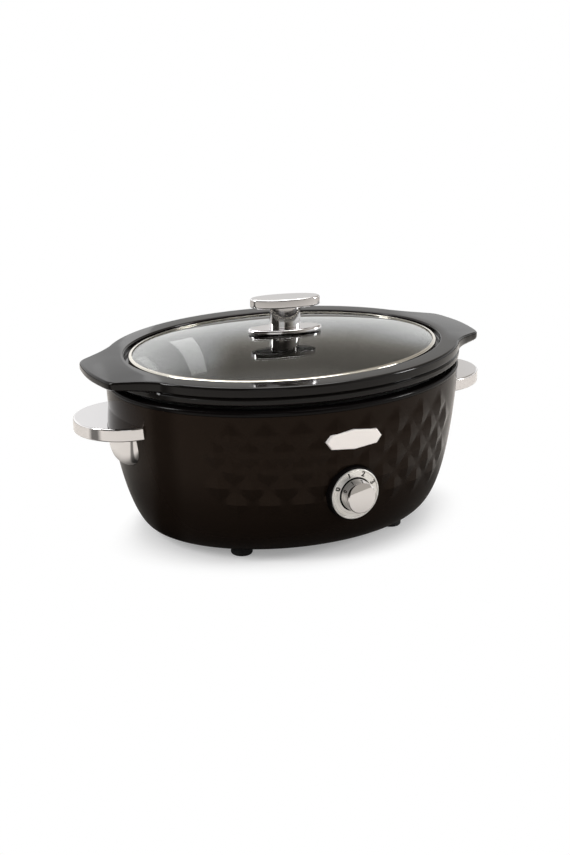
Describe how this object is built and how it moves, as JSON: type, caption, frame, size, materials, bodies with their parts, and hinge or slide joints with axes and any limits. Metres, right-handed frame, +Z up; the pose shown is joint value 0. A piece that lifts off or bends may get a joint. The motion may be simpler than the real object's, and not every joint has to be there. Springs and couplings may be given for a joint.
{
  "type": "slow cooker",
  "caption": "Oval slow cooker with a black diamond-faceted housing, chrome handles, a rotary dial and a glass lid on a black stoneware pot.",
  "frame": {"origin": "centre of the whole footprint at table level", "axes": "+X to the right from handle to handle, -Y out of the front through the dial, +Z up"},
  "size_m": [0.414, 0.2895, 0.2147],
  "materials": {
    "housing_black": "gloss",
    "trim_black": "gloss",
    "glaze_black": "gloss",
    "clear_glass": "polished",
    "bright_chrome": "polished",
    "lid_steel": "polished",
    "badge_metal": "satin",
    "dial_metal": "satin",
    "collar_black": "gloss",
    "base_paint": "satin",
    "foot_rubber": "matte",
    "pad_rubber": "matte",
    "plated_steel": "satin",
    "liner_metal": "satin",
    "heater_foil": "satin",
    "insulation_wool": "matte",
    "switch_plastic": "matte",
    "block_plastic": "matte",
    "contact_brass": "satin",
    "fuse_case": "satin",
    "wire_sleeve": "matte"
  },
  "bodies": {
    "housing": {"housing": "housing_black", "housing_trim": "trim_black", "base_plate": "base_paint", "feet": "foot_rubber", "foot_screws": "plated_steel", "base_screws": "plated_steel", "liner": "liner_metal", "heater_band": "heater_foil", "insulation": "insulation_wool", "liner_posts": "plated_steel", "pot_pads": "pad_rubber", "handle_left": "bright_chrome", "handle_right": "bright_chrome", "handle_saddles": "plated_steel", "handle_screws": "plated_steel", "badge": "badge_metal", "dial_collar": "collar_black", "dial_plate": "dial_metal", "switch_bushing": "contact_brass", "switch_nut": "plated_steel", "rotary_switch": "switch_plastic", "switch_terminals": "contact_brass", "terminal_block": "block_plastic", "thermal_fuse": "fuse_case", "fuse_clip": "plated_steel", "wiring": "wire_sleeve", "cord_gland": "foot_rubber"},
    "pot": {"pot": "glaze_black"},
    "lid": {"lid_glass": "clear_glass", "lid_band": "lid_steel", "lid_gasket": "foot_rubber", "lid_knob_base": "bright_chrome", "lid_knob_stem": "bright_chrome", "lid_knob_cap": "bright_chrome", "lid_washer": "foot_rubber", "lid_screw": "plated_steel"},
    "knob": {"control_knob": "bright_chrome", "switch_spindle": "plated_steel"}
  },
  "joints": [
    {"name": "pot_lift", "type": "slide", "parent": "housing", "child": "pot", "axis": [0, 0, 1], "range_m": [0, 0.18]},
    {"name": "lid_lift", "type": "slide", "parent": "pot", "child": "lid", "axis": [0, 0, 1], "range_m": [0, 0.12]},
    {"name": "knob_turn", "type": "hinge", "parent": "housing", "child": "knob", "pos_m": [0, -0.13275, 0.0681], "axis": [0, 1, 0], "range_deg": [-55, 74]}
  ]
}
